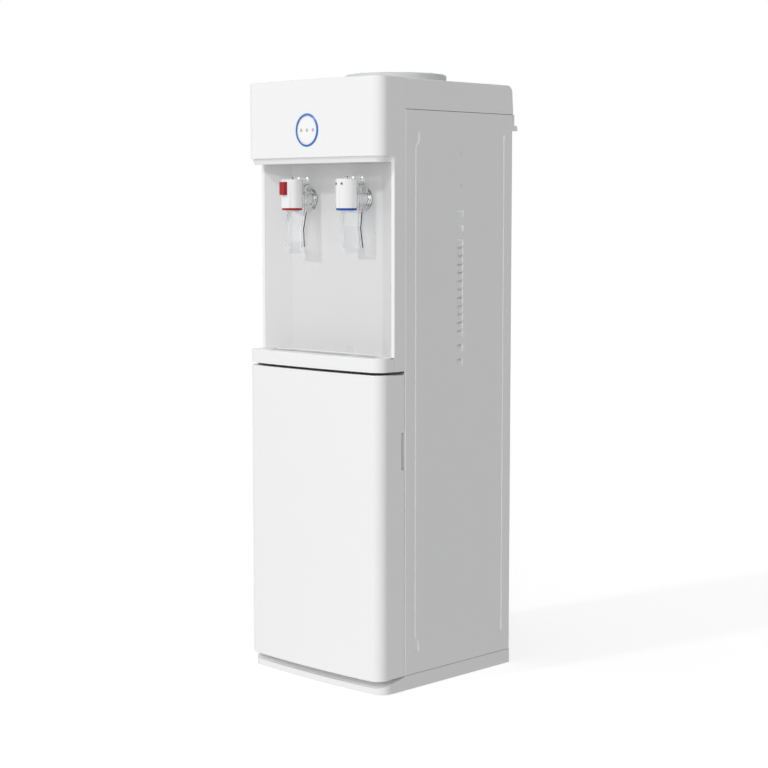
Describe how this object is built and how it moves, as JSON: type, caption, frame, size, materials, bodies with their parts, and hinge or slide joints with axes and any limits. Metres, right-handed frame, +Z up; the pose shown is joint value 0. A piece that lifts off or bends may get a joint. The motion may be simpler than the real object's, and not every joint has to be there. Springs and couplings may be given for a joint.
{
  "type": "water cooler",
  "caption": "Free-standing top-loading water cooler with hot and cold lever taps over a drip tray, a bottle collar on the top and a storage compartment behind a hinged door.",
  "frame": {"origin": "on the floor, under the middle of the overall plan", "axes": "+Z up, the taps and the door face -Y, +X to the right of someone who looks at the front"},
  "size_m": [0.31, 0.337, 0.9945],
  "materials": {
    "shell_white": "smooth gloss moulding",
    "cover_white": "fine satin moulding",
    "base_white": "satin moulding",
    "side_paint": "powder coat with a fine orange peel",
    "niche_white": "satin moulding",
    "grille_white": "satin moulding",
    "liner_plastic": "vacuum formed gloss sheet",
    "soft_rubber": "matt rubber",
    "dark_plastic": "matt moulding",
    "bare_steel": "ground",
    "zinc_steel": "zinc coated sheet",
    "collar_grey": "satin moulding",
    "stainless": "drawn stainless steel",
    "aluminium_sleeve": "mill finish",
    "foam": "closed cell foam",
    "silicone": "soft silicone tube",
    "tap_white": "gloss moulding",
    "lock_red": "gloss moulding",
    "ring_red": "gloss moulding",
    "ring_blue": "gloss moulding",
    "lever_clear": "frosted clear moulding",
    "stem_dark": "silicone plug on a plain rod",
    "indicator_blue": "gloss moulding",
    "lens_white": "gloss diffuser",
    "light_pipe": "clear rod ends",
    "board_green": "solder resist",
    "black_paint": "semi matt black enamel",
    "copper": "drawn copper",
    "switch_black": "satin moulding",
    "switch_green": "gloss moulding"
  },
  "bodies": {
    "cabinet": {"front_shell": "shell_white", "top_cover": "cover_white", "base_tray": "base_white", "left_side_panel": "side_paint", "right_side_panel": "side_paint", "back_panel": "side_paint", "niche_insert": "niche_white", "tray_shelf": "dark_plastic", "storage_liner": "liner_plastic", "feet": "soft_rubber", "compressor_grommets": "soft_rubber", "magnetic_catch": "dark_plastic", "hinge_pins": "bare_steel", "partition": "zinc_steel", "tank_frame": "zinc_steel", "cold_tank": "stainless", "hot_tank": "stainless", "evaporator": "aluminium_sleeve", "cold_insulation": "foam", "hot_insulation": "foam", "heater_band": "bare_steel", "thermostats": "dark_plastic", "cold_tube": "silicone", "hot_tube": "silicone", "hot_feed_tube": "silicone", "drain_tube": "silicone", "drain_fitting": "tap_white", "tap_nuts": "tap_white", "lever_pins": "bare_steel", "hot_tap_body": "tap_white", "cold_tap_body": "tap_white", "hot_tap_ring": "ring_red", "cold_tap_ring": "ring_blue", "indicator_ring": "indicator_blue", "indicator_lens": "lens_white", "light_pipes": "light_pipe", "control_board": "board_green", "compressor": "black_paint", "refrigerant_lines": "copper", "condenser": "black_paint", "wall_spacers": "tap_white", "switch_frame": "switch_black", "cord_gland": "switch_black", "screws": "zinc_steel"},
    "door": {"door_outer": "shell_white", "door_inner": "liner_plastic", "door_gasket": "soft_rubber", "door_strike": "bare_steel"},
    "drip_tray": {"drip_tray": "shell_white"},
    "drip_grille": {"drip_grille": "grille_white"},
    "bottle_seat": {"bottle_collar": "collar_grey", "feed_probe": "collar_grey"},
    "hot_lever": {"hot_lever": "lever_clear"},
    "cold_lever": {"cold_lever": "lever_clear"},
    "hot_stem": {"hot_stem": "stem_dark"},
    "cold_stem": {"cold_stem": "stem_dark"},
    "child_lock_button": {"child_lock_button": "lock_red"},
    "hot_switch": {"hot_switch": "ring_red"},
    "cold_switch": {"cold_switch": "switch_green"},
    "drain_cap": {"drain_cap": "dark_plastic"}
  },
  "joints": [
    {"name": "door_hinge", "type": "hinge", "parent": "cabinet", "child": "door", "pos_m": [-0.147, -0.1117, 0.0241], "axis": [0, 0, -1], "range_deg": [0, 95]},
    {"name": "tray_slide", "type": "slide", "parent": "cabinet", "child": "drip_tray", "axis": [0, -1, 0], "range_m": [0, 0.08]},
    {"name": "grille_lift", "type": "slide", "parent": "drip_tray", "child": "drip_grille", "axis": [0, 0, 1], "range_m": [0, 0.03]},
    {"name": "bottle_seat_lift", "type": "slide", "parent": "cabinet", "child": "bottle_seat", "axis": [0, 0, 1], "range_m": [0, 0.06]},
    {"name": "hot_lever_pivot", "type": "hinge", "parent": "cabinet", "child": "hot_lever", "pos_m": [-0.0638, -0.1262, 0.812], "axis": [1, 0, 0], "range_deg": [0, 8.4], "stiffness_Nm_per_rad": 0.3, "springref_deg": -2.86},
    {"name": "cold_lever_pivot", "type": "hinge", "parent": "cabinet", "child": "cold_lever", "pos_m": [0.0638, -0.1262, 0.812], "axis": [1, 0, 0], "range_deg": [0, 8.4], "stiffness_Nm_per_rad": 0.3, "springref_deg": -2.86},
    {"name": "hot_stem_slide", "type": "slide", "parent": "cabinet", "child": "hot_stem", "axis": [0, 0, -1], "range_m": [0, 0.0032]},
    {"name": "cold_stem_slide", "type": "slide", "parent": "cabinet", "child": "cold_stem", "axis": [0, 0, -1], "range_m": [0, 0.0032]},
    {"name": "child_lock_press", "type": "slide", "parent": "cabinet", "child": "child_lock_button", "axis": [0, 1, 0], "range_m": [0, 0.003], "stiffness_N_per_m": 400, "springref_m": -0.001},
    {"name": "hot_switch_rock", "type": "hinge", "parent": "cabinet", "child": "hot_switch", "pos_m": [-0.087, 0.15, 0.8205], "axis": [-1, 0, 0], "range_deg": [0, 16]},
    {"name": "cold_switch_rock", "type": "hinge", "parent": "cabinet", "child": "cold_switch", "pos_m": [-0.053, 0.15, 0.8205], "axis": [-1, 0, 0], "range_deg": [0, 16]},
    {"name": "drain_cap_off", "type": "slide", "parent": "cabinet", "child": "drain_cap", "axis": [0, 1, 0], "range_m": [0, 0.02]}
  ],
  "couplings": [
    {"joint": "hot_stem_slide", "follows": "hot_lever_pivot", "m_per_rad": 0.0195},
    {"joint": "cold_stem_slide", "follows": "cold_lever_pivot", "m_per_rad": 0.0195}
  ]
}
